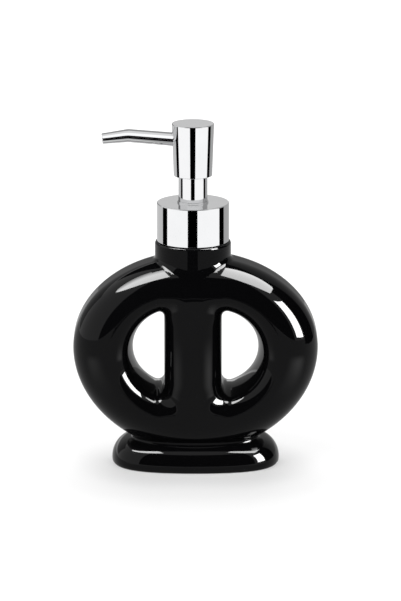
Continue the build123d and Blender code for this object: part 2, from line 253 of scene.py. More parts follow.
# ABS, injection moulded in dark grey: satin with a fine tool texture.
BUSH_ABS = SurfaceFinish("dark_moulded_abs", "#3c3d40", "#333437", roughness=0.32, patch_mm=4.0,
                         relief_mm=0.6)
# Polypropylene, injection moulded, natural: milky and softly glossy.
NATURAL_PP = SurfaceFinish("natural_moulded_polypropylene", "#d9dbd9", "#cfd2d1", roughness=0.34,
                           roughness_drift=0.12, patch_mm=6.0, relief_mm=0.8, ior=1.49, subsurface=0.15)
# Polypropylene, black moulded: the bonded thread insert.
BLACK_PP = SurfaceFinish("black_moulded_polypropylene", "#19191b", "#222225", roughness=0.38,
                         roughness_drift=0.12, patch_mm=6.0, relief_mm=0.8, ior=1.49)
# Polyethylene, extruded tube: cloudy and faintly uneven.
TUBE_PE = SurfaceFinish("extruded_polyethylene", "#d5d9d9", "#c9cece", roughness=0.3, patch_mm=8.0,
                        relief_mm=1.5, relief=0.15, ior=1.51, subsurface=0.2)
# Nitrile rubber, die cut: matt and slightly grainy.
GASKET_RUBBER = SurfaceFinish("die_cut_nitrile_rubber", "#8b8a86", "#7b7a77", roughness=0.75, patch_mm=3.0,
                              relief_mm=0.4, relief=0.4)
# Soft polyethylene seal, moulded: bluish white.
SEAL_PE = SurfaceFinish("moulded_seal_polyethylene", "#c3cbd3", "#b5bec7", roughness=0.4, patch_mm=4.0,
                        relief_mm=0.6, subsurface=0.1)
# Stainless steel, drawn and ground: bright with a slight haze.
STAINLESS = SurfaceFinish("ground_stainless_steel", "#a9abad", "#9c9ea1", roughness=0.18, patch_mm=2.0,
                          relief_mm=0.4, relief=0.1, metallic=1.0)

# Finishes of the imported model's nodes.
NODE_FINISHES: dict[SurfaceFinish, tuple[str, ...]] = {
    BLACK_PP: ("neck_insert",),
    NATURAL_PP: ("closure_cap", "pump_housing", "ball_cage", "piston_retainer", "pump_stem", "head_core"),
    GASKET_RUBBER: ("neck_gasket",),
    STAINLESS: ("inlet_ball", "return_spring", "outlet_ball"),
    TUBE_PE: ("dip_tube",),
    SEAL_PE: ("piston_seal",),
    GLAZE: ("bottle_body",),
    CHROME: ("collar_shell", "stem_sleeve", "head_shell", "spout_tube"),
    BUSH_ABS: ("guide_bush",),
}


def dress_nodes() -> None:
    """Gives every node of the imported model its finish."""
    for finish, names in NODE_FINISHES.items():
        material = finish.material()
        for name in names:
            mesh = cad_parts[name].data
            mesh.materials.clear()
            mesh.materials.append(material)


@dataclass
class Shape:
    """Signed distance and its gradient at a set of points, in millimetres."""

    value: np.ndarray
    slope: np.ndarray

    def inverted(self) -> "Shape":
        """Swaps inside and outside."""
        return Shape(-self.value, -self.slope)

    def offset(self, amount: float) -> "Shape":
        """Grows the shape by amount."""
        return Shape(self.value - amount, self.slope)

    def meet(self, other: "Shape", radius: float) -> "Shape":
        """Keeps what lies in both shapes, with a rounded outer edge.

        Args:
            other: the second shape.
            radius: radius of the rounded edge.
        Returns:
            The common shape.
        """
        a = np.maximum(self.value + radius, 0)
        b = np.maximum(other.value + radius, 0)
        length = np.hypot(a, b)
        both = (a > 0) & (b > 0)
        safe = np.where(both, length, 1.0)
        first = np.where(both, a / safe, np.where(self.value >= other.value, 1.0, 0.0))
        second = np.where(both, b / safe, np.where(self.value >= other.value, 0.0, 1.0))
        value = np.minimum(-radius, np.maximum(self.value, other.value)) + length
        return Shape(value, first[..., None] * self.slope + second[..., None] * other.slope)

    def join(self, other: "Shape", radius: float) -> "Shape":
        """Keeps what lies in either shape, with a rounded inner corner.

        Args:
            other: the second shape.
            radius: radius of the hollow fillet.
        Returns:
            The joined shape.
        """
        return self.inverted().meet(other.inverted(), radius).inverted()


@dataclass
class Oval:
    """A closed oval of four cubic quarters, measured from its centre, in millimetres."""

    half: float
    up: float
    down: float
    full_up: float
    full_down: float
    samples: int = 96
    overlap: float = 1.0
    refinements: int = 4

    def quarters(self) -> np.ndarray:
        """Works out the control points.

        Returns:
            One row of four points for each quarter.
        """
        h, u, d, fu, fd = self.half, self.up, self.down, self.full_up, self.full_down
        return np.array([
            [(h, 0), (h, fu * u), (fu * h, u), (0, u)],
            [(0, u), (-fu * h, u), (-h, fu * u), (-h, 0)],
            [(-h, 0), (-h, -fd * d), (-fd * h, -d), (0, -d)],
            [(0, -d), (fd * h, -d), (h, -fd * d), (h, 0)],
        ])

    def measure(self, s: np.ndarray, t: np.ndarray) -> tuple[np.ndarray, np.ndarray, np.ndarray]:
        """Measures signed distance to the oval.

        Args:
            s: first coordinate of the points.
            t: second coordinate of the points.
        Returns:
            Distance, negative inside, and the two parts of its gradient.
        """
        points = np.stack([s, t], -1)
        best = np.full(s.shape, np.inf)
        foot = np.zeros_like(points)
        normal = np.zeros_like(points)
        for number, corner in enumerate(self.quarters()):
            right = number in (0, 3)
            upper = number in (0, 1)
            beside = s >= -self.overlap if right else s <= self.overlap
            near = beside & (t >= -self.overlap if upper else t <= self.overlap)
            if not near.any():
                continue
            here = points[near]
            grid = np.linspace(0, 1, self.samples)
            curve = self.along(corner, grid, 0)
            square = ((here[:, None, :] - curve[None, :, :]) ** 2).sum(-1)
            share = grid[square.argmin(1)]
            for _ in range(self.refinements):
                gap = self.along(corner, share, 0) - here
                first = self.along(corner, share, 1)
                second = self.along(corner, share, 2)
                push = (gap * first).sum(-1)
                pull = (first * first).sum(-1) + (gap * second).sum(-1)
                share = np.clip(share - push / np.where(np.abs(pull) < TINY, TINY, pull), 0, 1)
            spot = self.along(corner, share, 0)
            first = self.along(corner, share, 1)
            out = np.stack([first[:, 1], -first[:, 0]], -1)
            out /= np.linalg.norm(out, axis=-1, keepdims=True)
            distance = ((here - spot) ** 2).sum(-1)
            index = np.flatnonzero(near.ravel())
            closer = distance < best.ravel()[index]
            keep = index[closer]
            best.ravel()[keep] = distance[closer]
            foot.reshape(-1, 2)[keep] = spot[closer]
            normal.reshape(-1, 2)[keep] = out[closer]
        value = ((points - foot) * normal).sum(-1)
        return value, normal[..., 0], normal[..., 1]

    @staticmethod
    def along(corner: np.ndarray, share: np.ndarray, order: int) -> np.ndarray:
        """Returns points (order 0) or derivatives of one cubic quarter.

        Args:
            corner: four control points.
            share: parameters from 0 to 1.
            order: 0, 1 or 2.
        Returns:
            One point or vector per parameter.
        """
        u = share[:, None]
        v = 1 - u
        if order == 0:
            return v**3 * corner[0] + 3 * v * v * u * corner[1] + 3 * v * u * u * corner[2] + u**3 * corner[3]
        if order == 1:
            return 3 * (v * v * (corner[1] - corner[0]) + 2 * v * u * (corner[2] - corner[1])
                        + u * u * (corner[3] - corner[2]))
        return 6 * (v * (corner[2] - 2 * corner[1] + corner[0]) + u * (corner[3] - 2 * corner[2] + corner[1]))


@dataclass
class Bottle:
    """The one-piece glazed bottle, in millimetres: ring, column, windows, neck and foot."""

    ring: Oval = field(default_factory=lambda: Oval(57.6, 44.0, 50.5, 0.555, 0.536))
    level: float = 56.7
    depth: float = 45.0
    rim_radius: float = 18.0
    wall: float = 4.0
    column_width: float = 27.0
    column_rim: float = 13.3
    column_rim_fade: float = 6.0
    column_rim_ends: float = 0.65
    window_reach: float = 29.6
    window_rise: float = 18.4
    window_drop: float = 20.2
    window_top_corner: float = 3.0
    window_bottom_corner: float = 5.0
    window_flare: float = 4.5
    window_rim: float = 6.5
    window_rim_blend: float = 10.0
    neck_diameter: float = 35.7
    neck_top: float = 107.0
    neck_wall: float = 4.5
    neck_lip: float = 0.9
    neck_root: float = 1.6
    neck_start_share: float = 2 / 3
    neck_start_edge: float = 0.5
    bore_root: float = 1.0
    inner_edge: float = 0.6
    foot: Oval = field(default_factory=lambda: Oval(39.6, 25.2, 25.2, 0.72, 0.72))
    foot_height: float = 12.4
    foot_top_radius: float = 10.4
    foot_edge: float = 1.4
    foot_recess: float = 3.0
    foot_recess_corner: float = 1.0
    foot_land: float = 7.0
    waist_fillet: float = 2.6
    cell: float = 1.0
    margin: float = 2.5
    settle_steps: int = 6
    least_slope: float = 0.05

    def window(self, side: int, p: np.ndarray) -> tuple[Shape, np.ndarray]:
        """Measures one D-shaped window, whose curved side is narrowest at mid-depth.

        Args:
            side: -1 for the left window, 1 for the right.
            p: points.
        Returns:
            The window's shape, inside where the bottle is open, and the radius of its rim nearby.
        """
        chord = AXIS_X + side * self.column_width / 2
        reach = side * self.window_reach - chord
        half = (self.window_rise + self.window_drop) / 2
        radius = (half * half + reach * reach) / (2 * abs(reach))
        centre = chord + reach - side * radius
        middle = self.level + (self.window_rise - self.window_drop) / 2
        zero = np.zeros_like(p[..., 0])
        one = np.ones_like(zero)
        flat = Shape(side * (chord - p[..., 0]), np.stack([-side * one, zero, zero], -1))
        dx = p[..., 0] - centre
        dz = p[..., 2] - middle
        far = np.maximum(np.hypot(dx, dz), TINY)
        share = p[..., 1] / (self.depth / 2)
        lean = -2 * self.window_flare * share / (self.depth / 2)
        disc = Shape(far - radius - self.window_flare * share**2, np.stack([dx / far, lean, dz / far], -1))
        corner = np.where(p[..., 2] > middle, self.window_top_corner, self.window_bottom_corner)
        blend = smooth_step(np.clip(0.5 + (flat.value - disc.value) / self.window_rim_blend, 0, 1))
        inward = smooth_step(np.clip((half - np.abs(dz)) / self.column_rim_fade, 0, 1))
        blend *= self.column_rim_ends + (1 - self.column_rim_ends) * inward
        rim = self.window_rim + (self.column_rim - self.window_rim) * blend
        return flat.meet(disc, corner), rim

    def shape(self, p: np.ndarray) -> Shape:
        """Measures the whole bottle.

        Args:
            p: points, one row of three numbers each.
        Returns:
            The bottle's shape at the points.
        """
        x, y, z = p[..., 0], p[..., 1], p[..., 2]
        zero = np.zeros_like(x)
        one = np.ones_like(x)
        up = np.stack([zero, zero, one], -1)
        value, gx, gz = self.ring.measure(x, z - self.level)
        edge = Shape(value, np.stack([gx, zero, gz], -1))
        face = Shape(np.abs(y) - self.depth / 2, np.stack([zero, np.sign(y), zero], -1))
        ring = edge.meet(face, self.rim_radius)
        for side in (-1, 1):
            window, rim = self.window(side, p)
            ring = ring.meet(window.inverted(), rim)
        far = np.maximum(np.hypot(x - AXIS_X, y), TINY)
        out = np.stack([(x - AXIS_X) / far, y / far, zero], -1)
        start = Shape(self.level + self.ring.up * self.neck_start_share - z, -up)
        neck = Shape(far - self.neck_diameter / 2, out).meet(Shape(z - self.neck_top, up), self.neck_lip)
        neck = neck.meet(start, self.neck_start_edge)
        value, fx, fy = self.foot.measure(x, y)
        plan = Shape(value, np.stack([fx, fy, zero], -1))
        foot = plan.meet(Shape(z - self.foot_height, up), self.foot_top_radius)
        foot = foot.meet(Shape(-z, -up), self.foot_edge)
        solid = ring.join(foot, self.waist_fillet).join(neck, self.neck_root)
        hollow = ring.offset(-self.wall)
        bore = Shape(far - self.neck_diameter / 2 + self.neck_wall, out).meet(start, self.neck_start_edge)
        top = Shape(z - self.foot_recess, up)
        recess = plan.offset(-self.foot_land).meet(top, self.foot_recess_corner)
        inside = hollow.join(bore, self.bore_root)
        return solid.meet(inside.inverted(), self.inner_edge).meet(recess.inverted(), self.inner_edge)

    def mesh(self) -> tuple[np.ndarray, np.ndarray, np.ndarray]:
        """Wraps the bottle in an even net.

        Returns:
            Points, four-sided faces and the points' normals.
        """
        low = np.array([-self.ring.half, -self.foot.up, 0.0]) - self.margin
        high = np.array([self.ring.half, self.foot.up, self.neck_top]) + self.margin
        steps = np.ceil((high - low) / self.cell).astype(int) + 1
        lines = [low[i] + self.cell * np.arange(steps[i]) for i in range(3)]
        values = np.empty(tuple(steps))
        plane_y, plane_z = np.meshgrid(lines[1], lines[2], indexing="ij")
        for i, x in enumerate(lines[0]):
            values[i] = self.shape(np.stack([np.full_like(plane_y, x), plane_y, plane_z], -1)).value
        points, faces = surface_net(values, low, self.cell)
        for _ in range(self.settle_steps):
            there = self.shape(points)
            size = np.maximum((there.slope**2).sum(-1), self.least_slope)
            move = np.clip(there.value / size, -self.cell, self.cell)
            points = points - move[:, None] * there.slope
        slope = self.shape(points).slope
        normals = slope / np.maximum(np.linalg.norm(slope, axis=-1, keepdims=True), TINY)
        return points, faces, normals

    def build(self) -> Object:
        """Makes the bottle, riding on its body in place of its node.

        Returns:
            The object.
        """
        points, faces, normals = self.mesh()
        points = (points * MM).tolist()
        piece = mesh_object("glazed_bottle", points, faces.tolist(), GLAZE.material(), smooth=True)
        piece.data.normals_split_custom_set_from_vertices(normals.tolist())
        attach(piece, Body.BOTTLE.value)
        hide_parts("bottle_body")
        return piece


def surface_net(values: np.ndarray, low: np.ndarray, cell: float) -> tuple[np.ndarray, np.ndarray]:
    """Wraps the zero level of a grid of distances in four-sided faces.

    Args:
        values: distances at the grid's points.
        low: the grid's lowest corner.
        cell: the grid's spacing.
    Returns:
        Points and outward faces.
    """
    nx, ny, nz = values.shape
    inside = values < 0
    corners = [(i, j, k) for i in (0, 1) for j in (0, 1) for k in (0, 1)]

    def part(grid: np.ndarray, c: tuple[int, int, int]) -> np.ndarray:
        """Returns the grid shifted to one corner of every cell."""
        return grid[c[0]:nx - 1 + c[0], c[1]:ny - 1 + c[1], c[2]:nz - 1 + c[2]]

    count = sum(part(inside, c).astype(np.int8) for c in corners)
    mixed = (count > 0) & (count < 8)
    number = np.full(mixed.shape, -1, np.int64)
    number[mixed] = np.arange(mixed.sum())
    place = np.argwhere(mixed).astype(float)
    total = np.zeros_like(place)
    weight = np.zeros(len(place))
    for a in corners:
        for axis in range(3):
            if a[axis]:
                continue
            b = tuple(1 if i == axis else a[i] for i in range(3))
            first = part(values, a)[mixed]
            second = part(values, b)[mixed]
            cross = (first < 0) != (second < 0)
            share = np.where(cross, first / np.where(cross, first - second, 1.0), 0.0)
            spot = np.array(a, float) + share[:, None] * (np.array(b, float) - np.array(a, float))
            total += np.where(cross[:, None], spot, 0.0)
            weight += cross
    points = low + cell * (place + total / weight[:, None])
    faces = []
    for axis in range(3):
        u, v = (axis + 1) % 3, (axis + 2) % 3
        take = [slice(1, -1)] * 3
        take[axis] = slice(0, -1)
        start = inside[tuple(take)]
        take[axis] = slice(1, None)
        end = inside[tuple(take)]
        base = np.argwhere(start != end)
        base[:, u] += 1
        base[:, v] += 1
        leaving = start[start != end]
        ring = []
        for du, dv in ((-1, -1), (0, -1), (0, 0), (-1, 0)):
            at = base.copy()
            at[:, u] += du
            at[:, v] += dv
            ring.append(number[at[:, 0], at[:, 1], at[:, 2]])
        quad = np.stack(ring, -1)
        quad[~leaving] = quad[~leaving][:, ::-1]
        faces.append(quad)
    return points, np.concatenate(faces)


@dataclass
class Turning:
    """A piece turned about the pump's axis from a closed outline of (radius, height) in millimetres.

    Rounds gives the radius of each rounded corner by its number. Hold is the short length that is divided off
    at both ends of a long run, so that a corner's smooth shading doesn't reach into the run.
    """

    name: str
    outline: Sequence[Point]
    rounds: dict[int, float]
    node: str
    body: Body
    slot: str = "chrome"
    finish: SurfaceFinish = CHROME
    segments: int = 192
    round_steps: int = 8
    sharp_angle: float = 30.0
    hold: float = 0.06

    def profile(self) -> list[Point]:
        """Rounds the outline's named corners and divides its long runs.

        Returns:
            The finished outline.
        """
        count = len(self.outline)
        points: list[Point] = []
        for i, corner in enumerate(self.outline):
            before = Vector(self.outline[i - 1])
            after = Vector(self.outline[(i + 1) % count])
            here = Vector(corner)
            radius = self.rounds.get(i, 0.0)
            if not radius:
                points.append(corner)
                continue
            back = (before - here).normalized()
            ahead = (after - here).normalized()
            half = back.angle(ahead) / 2
            run = radius / math.tan(half)
            centre = here + (back + ahead).normalized() * (radius / math.sin(half))
            start = here + back * run - centre
            stop = here + ahead * run - centre
            turn = start.angle_signed(stop)
            for k in range(self.round_steps + 1):
                angle = -turn * k / self.round_steps
                c, s = math.cos(angle), math.sin(angle)
                spot = centre + Vector((start.x * c - start.y * s, start.x * s + start.y * c))
                points.append((spot.x, spot.y))
        divided: list[Point] = []
        for i, corner in enumerate(points):
            divided.append(corner)
            run = Vector(points[(i + 1) % len(points)]) - Vector(corner)
            if run.length > 4 * self.hold:
                for share in (self.hold / run.length, 1 - self.hold / run.length):
                    spot = Vector(corner) + run * share
                    divided.append((spot.x, spot.y))
        return divided

    def build(self) -> Object:
        """Makes the turned piece, riding on its body in place of its node.

        Returns:
            The object.
        """
        profile = self.profile()
        verts: list[Corner] = []
        rings: list[list[int]] = []
        for radius, height in profile:
            if radius < TINY:
                verts.append((AXIS_X * MM, 0.0, height * MM))
                rings.append([len(verts) - 1] * self.segments)
                continue
            rings.append(list(range(len(verts), len(verts) + self.segments)))
            for k in range(self.segments):
                angle = 2 * math.pi * k / self.segments
                x = AXIS_X + radius * math.cos(angle)
                verts.append((x * MM, radius * math.sin(angle) * MM, height * MM))
        faces = []
        for i, lower in enumerate(rings):
            upper = rings[(i + 1) % len(rings)]
            if lower[0] == lower[1] and upper[0] == upper[1]:
                continue
            for k in range(self.segments):
                m = (k + 1) % self.segments
                loop = [lower[k], lower[m], upper[m], upper[k]]
                faces.append(list(dict.fromkeys(loop)))
        piece = mesh_object(self.name, verts, faces, self.finish.material(), smooth=True)
        piece.data.set_sharp_from_angle(angle=math.radians(self.sharp_angle))
        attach(piece, self.body.value)
        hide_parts(self.node)
        return piece


@dataclass
class Plating:
    """The turned chrome shells of the pump, in millimetres."""

    metal: float = 0.6
    collar_radius: float = 16.9
    collar_bottom: float = 107.3
    collar_top: float = 125.5
    lip_bore: float = 6.9
    lip_wall: float = 0.35
    lip_height: float = 0.8
    sleeve_radius: float = 6.8
    sleeve_bottom: float = 117.6
    sleeve_top: float = 138.9
    head_bottom: float = 138.3
    head_top: float = 163.1
    head_bottom_radius: float = 9.0
    head_top_radius: float = 9.95
    head_top_wall: float = 0.8
    cut_edge: float = 0.15
    collar_edge: float = 0.4
    lip_root: float = 0.1
    lip_edge: float = 0.06
    head_bottom_edge: float = 0.2
    head_top_edge: float = 0.35

    def collar(self) -> Turning:
        """Draws the collar with the thin lip round the stem.

        Returns:
            The piece to turn.
        """
        inner = self.collar_radius - self.metal
        ceiling = self.collar_top - self.metal
        lip = self.lip_bore + self.lip_wall
        lip_top = self.collar_top + self.lip_height
        outline = [(inner, self.collar_bottom), (self.collar_radius, self.collar_bottom),
                   (self.collar_radius, self.collar_top), (lip, self.collar_top), (lip, lip_top),
                   (self.lip_bore, lip_top), (self.lip_bore, ceiling), (inner, ceiling)]
        rounds = {1: self.cut_edge, 2: self.collar_edge, 3: self.lip_root, 4: self.lip_edge, 5: self.lip_edge}
        return Turning("chrome_collar", outline, rounds, "collar_shell", Body.COLLAR)

    def sleeve(self) -> Turning:
        """Draws the plain tube round the stem.

        Returns:
            The piece to turn.
        """
        inner = self.sleeve_radius - self.metal
        outline = [(inner, self.sleeve_bottom), (self.sleeve_radius, self.sleeve_bottom),
                   (self.sleeve_radius, self.sleeve_top), (inner, self.sleeve_top)]
        rounds = {1: self.cut_edge}
        return Turning("chrome_sleeve", outline, rounds, "stem_sleeve", Body.HEAD)

    def head(self) -> Turning:
        """Draws the head's closed cup, which widens upwards.

        Returns:
            The piece to turn.
        """
        ceiling = self.head_top - self.head_top_wall
        outline = [(self.head_bottom_radius - self.metal, self.head_bottom),
                   (self.head_bottom_radius, self.head_bottom), (self.head_top_radius, self.head_top),
                   (0.0, self.head_top), (0.0, ceiling), (self.head_top_radius - self.metal, ceiling)]
        rounds = {1: self.head_bottom_edge, 2: self.head_top_edge}
        return Turning("chrome_head", outline, rounds, "head_shell", Body.HEAD)


@dataclass
class Spout:
    """The bent, tapering chrome tube of the head, in millimetres and degrees."""

    level: float = 154.75
    rise: float = 4.7
    fall: float = 7.0
    socket: float = 3.6
    bend: float = 30.1
    reach: float = 42.3
    root_diameter: float = 6.4
    bend_diameter: float = 6.2
    tip_diameter: float = 5.0
    wall: float = 0.6
    bend_radius: float = 7.0
    bend_steps: int = 14
    rings: int = 90
    sides: int = 64

    def points(self) -> list[Corner]:
        """Works out the centre line.

        Returns:
            Its start, bend and tip in metres.
        """
        start = (AXIS_X - self.socket, self.level + self.socket * math.tan(math.radians(self.rise)))
        knee = (AXIS_X - self.bend, self.level + self.bend * math.tan(math.radians(self.rise)))
        tip = (AXIS_X - self.reach, knee[1] - (self.reach - self.bend) * math.tan(math.radians(self.fall)))
        return [(x * MM, 0.0, z * MM) for x, z in (start, knee, tip)]

    def tree(self, material: Material) -> NodeTree:
        """Builds the nodes that sweep a tapering round tube along the centre line.

        Args:
            material: finish of the tube.
        Returns:
            The node group.
        """
        group = bpy.data.node_groups.new("tapered_spout", "GeometryNodeTree")
        group.interface.new_socket("Geometry", in_out="INPUT", socket_type="NodeSocketGeometry")
        for name in ("Root Radius", "Bend Radius", "Tip Radius", "Bend Share", "Fillet"):
            group.interface.new_socket(name, in_out="INPUT", socket_type="NodeSocketFloat")
        group.interface.new_socket("Geometry", in_out="OUTPUT", socket_type="NodeSocketGeometry")
        tree = Tree(group)
        given = tree.add("NodeGroupInput")
        line = tree.add("GeometryNodeMeshToCurve", {"Mesh": given.outputs["Geometry"]})
        bent = tree.add("GeometryNodeFilletCurve",
                        {"Curve": line.outputs["Curve"], "Count": self.bend_steps,
                         "Radius": given.outputs["Fillet"]}, mode="POLY")
        even = tree.add("GeometryNodeResampleCurve",
                        {"Curve": bent.outputs[0], "Count": self.rings}, mode="COUNT")
        share = tree.add("GeometryNodeSplineParameter").outputs["Factor"]
        bend, root, knee, tip = (given.outputs[name] for name in
                                 ("Bend Share", "Root Radius", "Bend Radius", "Tip Radius"))
        first = tree.ramp(share, (0.0, bend), (root, knee))
        second = tree.ramp(share, (bend, 1.0), (knee, tip))
        past = tree.calc("GREATER_THAN", share, bend)
        size = tree.add("ShaderNodeMix", {0: past, 2: first, 3: second}, data_type="FLOAT")
        ring = tree.add("GeometryNodeCurvePrimitiveCircle",
                        {"Resolution": self.sides, "Radius": 1.0}, mode="RADIUS")
        tube = tree.add("GeometryNodeCurveToMesh", {"Curve": even.outputs[0], "Scale": size.outputs[0],
                                                    "Profile Curve": ring.outputs[0]})
        smooth = tree.add("GeometryNodeSetShadeSmooth", {0: tube.outputs[0]})
        real = tree.add("GeometryNodeRealizeInstances", {"Geometry": smooth.outputs[0]})
        dressed = tree.add("GeometryNodeSetMaterial", {"Geometry": real.outputs[0], "Material": material})
        tree.add("NodeGroupOutput", {"Geometry": dressed.outputs[0]})
        return group

    def build(self) -> Object:
        """Makes the spout, riding on the head in place of its node.

        Returns:
            The object.
        """
        material = CHROME.material()
        path = bpy.data.meshes.new("spout_line")
        path.from_pydata(self.points(), [(0, 1), (1, 2)], [])
        guide = new_object("spout_line", path)
        sweep = guide.modifiers.new("sweep", "NODES")
        sweep.node_group = self.tree(material)
        sizes = {"Root Radius": self.root_diameter / 2 * MM, "Bend Radius": self.bend_diameter / 2 * MM,
                 "Tip Radius": self.tip_diameter / 2 * MM, "Fillet": self.bend_radius * MM,
                 "Bend Share": (self.bend - self.socket) / (self.reach - self.socket)}
        for item in sweep.node_group.interface.items_tree:
            if item.in_out == "INPUT" and item.name in sizes:
                sweep[item.identifier] = sizes[item.name]
        graph = bpy.context.evaluated_depsgraph_get()
        mesh = bpy.data.meshes.new_from_object(guide.evaluated_get(graph))
        bpy.data.objects.remove(guide)
        mesh.name = "chrome_spout"
        piece = new_object("chrome_spout", mesh)
        shell = piece.modifiers.new("wall", "SOLIDIFY")
        shell.thickness = self.wall * MM
        shell.offset = -1.0
        shell.use_even_offset = True
        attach(piece, Body.HEAD.value)
        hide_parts("spout_tube")
        return piece


class Sight(Enum):
    """Pieces that a card's glow reaches; to the others a card is black and a veil is clear."""

    EVERY = ()
    GLAZED = ("glazed_bottle",)
    PLATED = ("chrome_spout", "chrome_sleeve", "chrome_collar", "chrome_head")
    TUBES = ("chrome_spout", "chrome_sleeve")
    STEM = ("chrome_sleeve", "chrome_collar")
    SPOUT = ("chrome_spout",)


@dataclass(frozen=True)
class FloorFinish:
    """Pale floor, white to the eye, that still takes a soft shadow; lengths in metres, turns in degrees.

    Its glow to the eye is dimmed close to a line along the foot, a painted contact shadow, and rises to full
    white far off. Mirrors see it as an even grey, a painted shade, with a painted sheen, a brighter patch, on
    both sides of the bottle's front, stronger on the right.
    """

    # Glow levels to the eye: a painted contact shadow by the foot, lighter farther out.
    painted_shadow_glow: float = 0.43
    near_glow: float = 0.57
    far_glow: float = 0.62
    painted_shadow_span: Point = (0.024, 0.049)
    near_span: Point = (0.045, 0.08)
    far_span: Point = (0.4, 1.4)
    shadow_half: float = 0.0144
    shadow_ahead: float = 0.006
    softness: float = 0.4
    albedo: float = 0.8
    # Painted shade: mirrors see the floor as a grey, darker than the eye sees it.
    mirror: float = 0.5
    # Painted sheen: brighter patches of floor that only mirrors see, beside the bottle's front.
    sheen: Point = (1.2, 1.9)
    sheen_half: float = 0.05
    sheen_reach: Corner = (0.07, 0.19, 0.27)
    sheen_turn: Corner = (30.0, 62.0, 84.0)

    def levels(self, tree: Tree) -> tuple[NodeSocket, NodeSocket]:
        """Works out how bright the floor is at each place.

        Args:
            tree: node tree to add to.
        Returns:
            Sockets of the level for the eye, with its painted shadow, and of the level for mirrors, with its
            painted shade and sheen.
        """
        place = tree.add("ShaderNodeTexCoord").outputs["Object"]
        x, y, _ = tree.add("ShaderNodeSeparateXYZ", {0: place}).outputs
        far = tree.add("ShaderNodeVectorMath", {0: place}, operation="LENGTH").outputs["Value"]
        aside = tree.calc("ABSOLUTE", x)
        beyond = tree.calc("SUBTRACT", aside, self.shadow_half)
        beside = tree.calc("MAXIMUM", beyond, 0.0)
        along = tree.calc("ADD", y, self.shadow_ahead)
        away = tree.add("ShaderNodeCombineXYZ", {0: beside, 1: along}).outputs[0]
        gap = tree.add("ShaderNodeVectorMath", {0: away}, operation="LENGTH").outputs["Value"]
        # Painted contact shadow: the glow is dimmed near a line along the foot, then rises to full white far
        # off.
        eye = tree.ease(gap, self.painted_shadow_span, (self.painted_shadow_glow, self.near_glow))
        eye = tree.ease(gap, self.near_span, (eye, self.far_glow))
        eye = tree.ease(far, self.far_span, (eye, 1.0))
        # Painted sheen: mirrors see the floor brighter in a patch on each side of the bottle's front.
        turn = tree.calc("ARCTAN2", aside, tree.calc("MULTIPLY", y, -1.0))
        near, full, end = self.sheen_reach
        start, most, stop = (math.radians(angle) for angle in self.sheen_turn)
        peak = tree.ramp(x, (-self.sheen_half, self.sheen_half), self.sheen)
        mirror = tree.ease(far, (near, full), (self.mirror, peak))
        mirror = tree.ease(far, (full, end), (mirror, self.mirror))
        mirror = tree.ease(turn, (start, most), (self.mirror, mirror))
        return eye, tree.ease(turn, (most, stop), (mirror, self.mirror))

    def material(self) -> Material:
        """Builds the floor's finish out of nodes.

        Returns:
            The material.
        """
        material, tree = blank_material("pale_floor")
        shown, mirrored = tree.shown_rays()
        eye, mirror = self.levels(tree)
        level = tree.add("ShaderNodeMix", {0: mirrored, 2: eye, 3: mirror}, data_type="FLOAT")
        soft = tree.ramp(mirrored, (0.0, 1.0), (self.softness, 0.0))
        matt = tree.add("ShaderNodeBsdfDiffuse", {"Color": (*[self.albedo] * 3, 1.0)})
        pale = tree.add("ShaderNodeBsdfDiffuse", {"Color": soft})
        glow = tree.add("ShaderNodeEmission", {"Strength": level.outputs[0]})
        both = tree.add("ShaderNodeAddShader", {0: pale.outputs[0], 1: glow.outputs[0]})
        mixed = tree.add("ShaderNodeMixShader", {0: shown, 1: matt.outputs[0], 2: both.outputs[0]})
        tree.add("ShaderNodeOutputMaterial", {"Surface": mixed.outputs[0]})
        return material


@dataclass(frozen=True)
class GlowFinish:
    """A glowing or black card, or a veil whose glow is added to what lies behind it.

    Fade says how far back, in metres, the glow starts to dim and where it is down to its faded share. The
    usual one lies farther back than any card.
    """

    strength: float
    veil: bool = False
    fade: Point = (8.0, 9.0)
    faded_share: float = 0.25

    def material(self, name: str) -> Material:
        """Builds the card's finish out of nodes.

        Args:
            name: the material's name.
        Returns:
            The material.
        """
        material, tree = blank_material(name)
        place = tree.add("ShaderNodeTexCoord")
        parts = tree.add("ShaderNodeSeparateXYZ", {0: place.outputs["Object"]})
        levels = (self.strength, self.strength * self.faded_share)
        level = tree.ramp(parts.outputs["Y"], self.fade, levels)
        glow = tree.add("ShaderNodeEmission", {"Strength": level})
        if self.veil:
            clear = tree.add("ShaderNodeBsdfTransparent")
            glow = tree.add("ShaderNodeAddShader", {0: clear.outputs[0], 1: glow.outputs[0]})
        tree.add("ShaderNodeOutputMaterial", {"Surface": glow.outputs[0]})
        return material


